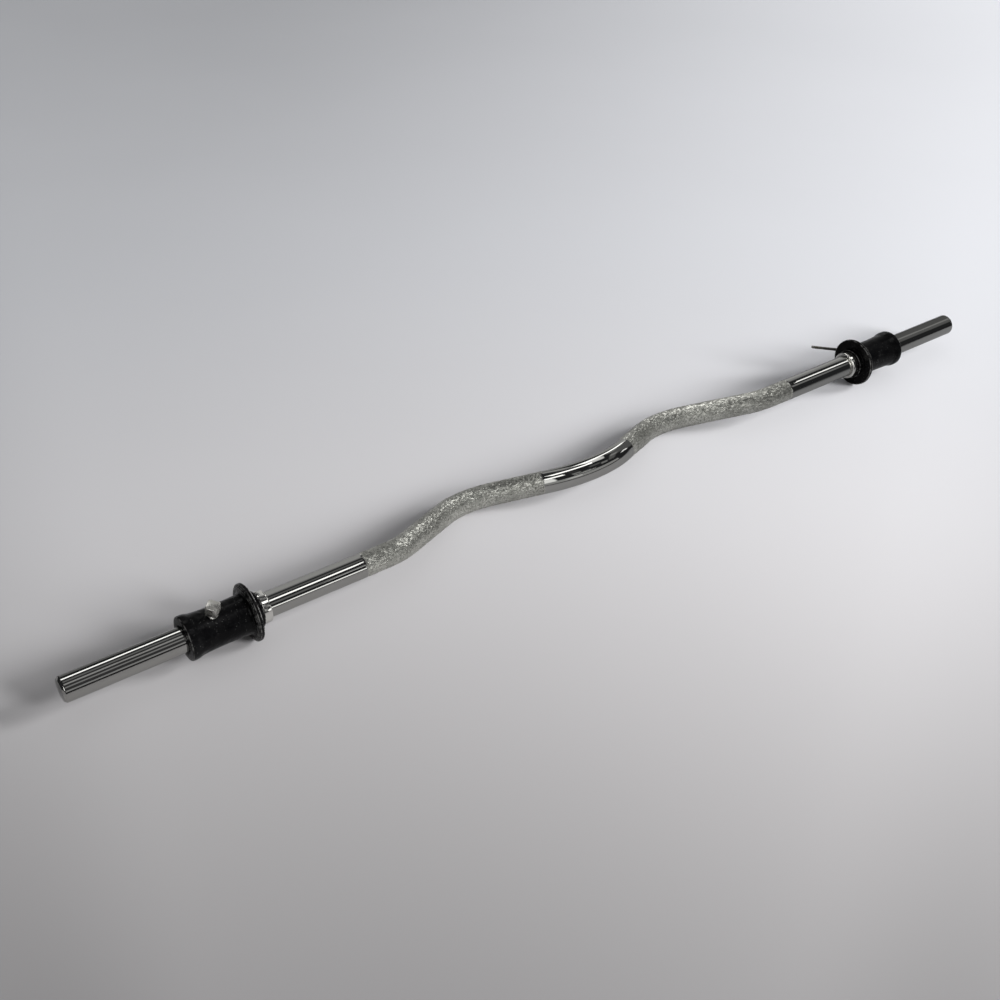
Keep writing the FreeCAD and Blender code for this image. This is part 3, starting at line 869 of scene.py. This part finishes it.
tommy = makeTommy(tommyShape, screwShape["crossHole"])
holder = setScrew["right"]
settle(tommy, holder["turn"], holder["tilt"], (collar["holePlace"], axisY, axisZ))
smoothBy(tommy, tommyShape["smooth"])
dress(tommy, tommySteel, "tommy_bar", "tommy_bar")
print("tommy bar made")


# floor, light and camera

# what each part of the bar mirrors of the room along X: where a band fades in, is full, ends and is gone
stretch = {
    "leftTip": (0.08, 0.11, 0.235, 0.26), "leftStraight": (0.255, 0.275, 0.40, 0.43),
    "valley": (0.40, 0.44, 0.57, 0.61), "rightStraight": (0.62, 0.67, 0.71, 0.74),
    "rightTip": (0.72, 0.74, 0.80, 0.84),
}

studio = {
    "floorSize": 24.0, "floorBlack": (0, 0, 0, 1),
    "floorFront": (1.012, 0.988, 1.0, 1), "floorBack": (0.978, 0.99, 1.035, 1),
    "room": (0.03, 0.031, 0.033, 1), "backdrop": (0.6, 0.61, 0.63, 1), "bandFade": (0.75, 1.25),
    # painted light and shade on the floor, by distance from a point in front and by place across
    "paintedLightGrade": {
        "from": (-0.743, -0.873), "turn": 35.6, "near": 0.5, "top": 0.88,
        "front": 0.4, "depth": (0.2, 1.23), "left": 0.505, "rise": 0.82, "across": (-0.83, 2.0),
        "farLoss": 0.28, "far": (0.9, 3.7), "cornerLoss": 0.19, "corner": (0.36, 0.56), "middle": 0.096,
        "tint": (0.6, 1.9), "clouds": (1.7, 2.0), "cloudShare": 0.03,
    },
    # painted shade seen only in reflections: how much of the floor's painted light the chrome sees
    "sheen": {
        "loss": 0.5, "across": (-0.55, 0.45), "least": 0.1, "edge": (-0.4, -0.18),
        "bulge": 0.17, "bulgeAt": 0.45, "bulgeReach": 0.5,
    },
    "key": {"from": (1.2, -2.2, 1.0), "angle": 18.0, "strength": 2.95},
    "side": {"from": (2.2, -1.15, 1.0), "angle": 18.0, "strength": 2.9},
    "sky": {"from": (0.0, 0.0, 1.0), "angle": 120.0, "strength": 0.6},
    "fill": {"place": (-2.2, -1.3, 1.1), "aim": (-0.2, 0.0, 0.0), "size": (1.2, 1.2), "power": 14.0},
    # panels round the bar, seen only as reflections; they face down unless upright
    "panels": [
        {"place": (0.05, -0.0185, 0.33), "size": (0.23, 0.0575), "glow": 2.9},
        {"place": (0.74, 0.60, 0.63), "size": (1.15, 0.13), "turn": 37.0, "glow": 2.8},
        {"place": (0.41, 0.14, 0.63), "size": (0.22, 0.36), "glow": 1.1},
        {"place": (0.497, -0.048, 0.18), "size": (0.12, 0.034), "glow": 2.2},
        {"place": (-0.155, -0.335, 0.63), "size": (0.25, 0.16), "glow": 2.6},
        {"place": (-0.42, 0.34, 0.63), "size": (0.30, 0.16), "glow": 2.6},
        {"place": (-0.42, -0.255, 0.63), "size": (0.26, 0.14), "glow": 0.45},
        {"place": (0.40, -1.08, 0.63), "size": (0.60, 0.12), "glow": 1.0},
        {"place": (0.325, -0.05, 0.15), "size": (0.07, 0.05), "glow": 1.6},
        {"place": (0.125, -0.25, 0.075), "upright": True, "size": (0.65, 0.10), "glow": 0.42},
        {"place": (-0.28, -0.20, 0.042), "upright": True, "size": (0.14, 0.03), "glow": 1.9},
    ],
    # pale bands of the room: angle from the back, half width, strength, reach along the bar
    "bands": [
        {"angle": 5.0, "half": 22.0, "glow": 0.2, "reach": stretch["leftTip"]},
        {"angle": 87.0, "half": 5.0, "glow": 0.19, "reach": stretch["leftTip"]},
        {"angle": 137.0, "half": 5.0, "glow": 0.3, "reach": stretch["leftTip"]},
        {"angle": 168.0, "half": 6.0, "glow": 0.36, "reach": (-0.1, 0.05, 0.235, 0.26)},
        {"angle": 115.0, "half": 50.0, "glow": 0.03, "reach": stretch["leftTip"]},
        {"angle": 92.0, "half": 7.0, "glow": 0.15, "reach": stretch["leftStraight"]},
        {"angle": 147.0, "half": 7.0, "glow": 0.2, "reach": stretch["leftStraight"]},
        {"angle": 22.0, "half": 45.0, "glow": 0.5, "reach": (0.255, 0.275, 0.38, 0.43)},
        {"angle": 0.0, "half": 26.0, "glow": 0.5, "reach": (0.38, 0.43, 0.62, 0.67)},
        {"angle": 68.0, "half": 9.0, "glow": 0.28, "reach": stretch["valley"]},
        {"angle": 120.0, "half": 7.0, "glow": 0.12, "reach": stretch["valley"]},
        {"angle": 142.0, "half": 16.0, "glow": 1.5, "reach": (-0.45, -0.38, -0.24, -0.19)},
        {"angle": 12.0, "half": 24.0, "glow": 0.22, "reach": stretch["rightStraight"]},
        {"angle": 15.0, "half": 48.0, "glow": 0.42, "reach": stretch["rightStraight"]},
        {"angle": 130.0, "half": 8.0, "glow": 0.3, "reach": (0.60, 0.62, 0.70, 0.72)},
        {"angle": 45.0, "half": 52.0, "glow": 0.13, "reach": (0.70, 0.74, 1.0, 1.1)},
        {"angle": 92.0, "half": 8.0, "glow": 0.14, "reach": stretch["rightTip"]},
        {"angle": 110.0, "half": 22.0, "glow": 0.15, "reach": stretch["rightTip"]},
    ],
}


def makeFloor():
    putAway()
    bpy.ops.mesh.primitive_plane_add(size=studio["floorSize"], location=(0, 0, 0))
    floor = nameIt("studio_floor")
    f = newFinish("floor_finish")
    here = f.place()
    paintedLightGrade, sheen = studio["paintedLightGrade"], studio["sheen"]
    # painted light and shade on the floor: darker in front and towards the front corners, palest beyond the
    # right end
    fromX, fromY = paintedLightGrade["from"]
    shifted = f.mapped(here, offset=(-fromX, -fromY, 0))
    away = f.node("ShaderNodeVectorMath", {"operation": "LENGTH"}, {0: shifted}, "Value")
    away = away.maths("MAXIMUM", away, paintedLightGrade["near"])
    side = f.split(f.mapped(here, turn=(0, 0, math.radians(paintedLightGrade["turn"]))), "X")
    level = paintedLightGrade["front"] + (1 - paintedLightGrade["front"]) * away.ramp(*paintedLightGrade["depth"])
    level = level * (paintedLightGrade["left"] + paintedLightGrade["rise"] * side.ramp(*paintedLightGrade["across"]))
    level = level * (1 - paintedLightGrade["farLoss"] * away.ramp(*paintedLightGrade["far"]))
    level = level * (1 - paintedLightGrade["cornerLoss"] * (abs(side + paintedLightGrade["middle"]) / away).ramp(*paintedLightGrade["corner"]))
    # painted shade seen only in reflections: the chrome sees the floor duller, and dark beyond its front edge
    bulge = 1 - abs(f.split(here, "X") - sheen["bulgeAt"]).ramp(0.0, sheen["bulgeReach"])
    front = f.split(here, "Y") - sheen["bulge"] * bulge
    dull = 1 - sheen["loss"] * side.ramp(*sheen["across"])
    dull = dull * (sheen["least"] + (1 - sheen["least"]) * front.ramp(*sheen["edge"]))
    mirrored = f.node("ShaderNodeLightPath", output="Is Glossy Ray")
    level = level * (1 - mirrored * (1 - dull))
    cloud = f.noise(here, *paintedLightGrade["clouds"])
    paper = f.mixed(away.ramp(*paintedLightGrade["tint"]), studio["floorFront"], studio["floorBack"])
    level = level.maths("MINIMUM", level, paintedLightGrade["top"]) + (cloud - 0.5) * paintedLightGrade["cloudShare"]
    tone = f.mixed(level, studio["floorBlack"], paper)
    floor.data.materials.append(f.surface({"Base Color": tone, "Roughness": 0.85, "Specular IOR Level": 0.0}))


def hang(name, item):
    # a lamp or a camera
    holder = bpy.data.objects.new(name, item)
    bpy.context.scene.collection.objects.link(holder)
    return holder


def newPanel(name, size, power):
    panel = bpy.data.lights.new(name, "AREA")
    panel.shape = "RECTANGLE"
    panel.size, panel.size_y = size
    panel.energy = power
    return panel


def makeLamps():
    # the chrome doesn't show these three, only the fill, the panels and the bands of the room
    for name in ("key", "side", "sky"):
        lamp = studio[name]
        sun = bpy.data.lights.new(name + "_light", "SUN")
        sun.energy = lamp["strength"]
        sun.angle = math.radians(lamp["angle"])
        holder = hang(name + "_light", sun)
        holder.rotation_euler = Vector(lamp["from"]).to_track_quat("Z", "Y").to_euler()
        holder.visible_glossy = False

    # the fill and the panels light nothing, and are seen only where they are mirrored
    fill = studio["fill"]
    holder = hang("fill_light", newPanel("fill_light", fill["size"], fill["power"]))
    holder.location = fill["place"]
    aim = Vector(fill["aim"]) - Vector(fill["place"])
    holder.rotation_euler = aim.to_track_quat("-Z", "Y").to_euler()
    holder.visible_diffuse = False

    for count, panel in enumerate(studio["panels"]):
        name = "panel_%d" % count
        long, wide = panel["size"]
        holder = hang(name, newPanel(name, panel["size"], panel["glow"] * math.pi * long * wide))
        holder.location = panel["place"]
        lift = math.pi / 2 if panel.get("upright") else 0.0
        holder.rotation_euler = (lift, 0, math.radians(panel.get("turn", 0.0)))
        holder.visible_diffuse = False
        holder.visible_camera = False


def makeWorld():
    world = bpy.data.worlds.new("studio_world")
    bpy.context.scene.world = world
    f = Finish(world)
    toward = f.node("ShaderNodeTexCoord", output="Generated")
    height = f.split(toward, "Z")
    side = f.split(toward, "X")
    angle = height.maths("ARCTAN2", height, f.split(toward, "Y")) * (180 / math.pi)
    full, gone = studio["bandFade"]
    glow = 0.0
    for band in studio["bands"]:
        startFade, start, end, endFade = band["reach"]
        off = abs(angle - band["angle"])
        share = 1 - off.ramp(band["half"] * full, band["half"] * gone)
        share = share * side.ramp(startFade, start) * (1 - side.ramp(end, endFade))
        glow = share * band["glow"] + glow
    room = f.node("ShaderNodeBackground", None, {"Color": studio["room"], "Strength": 1.0})
    lights = f.node("ShaderNodeBackground", None, {"Color": (1, 1, 1, 1), "Strength": glow})
    both = f.node("ShaderNodeAddShader", None, {0: room, 1: lights})
    # the camera sees a plain pale backdrop past the floor's edge, which lights nothing
    backdrop = f.node("ShaderNodeBackground", None, {"Color": studio["backdrop"], "Strength": 1.0})
    seen = f.node("ShaderNodeLightPath", output="Is Camera Ray")
    shown = f.node("ShaderNodeMixShader", None, {0: seen, 1: both, 2: backdrop})
    f.node("ShaderNodeOutputWorld", None, {"Surface": shown})


viewpoint = {
    "lens": 44.54, "sensor": 36.0, "nearest": 0.01,
    "place": (-0.74297, -0.87328, 0.7783), "turn": (54.982, -0.065, -35.597),
}


def makeCamera():
    lens = bpy.data.cameras.new("photo_camera")
    lens.lens = viewpoint["lens"]
    lens.sensor_width = viewpoint["sensor"]
    lens.clip_start = viewpoint["nearest"]
    camera = hang("photo_camera", lens)
    camera.location = viewpoint["place"]
    camera.rotation_euler = [math.radians(turn) for turn in viewpoint["turn"]]
    bpy.context.scene.camera = camera


makeFloor()
makeLamps()
makeWorld()
makeCamera()
bpy.context.scene.view_settings.view_transform = "Standard"
print("studio set")

bpy.context.view_layer.update()
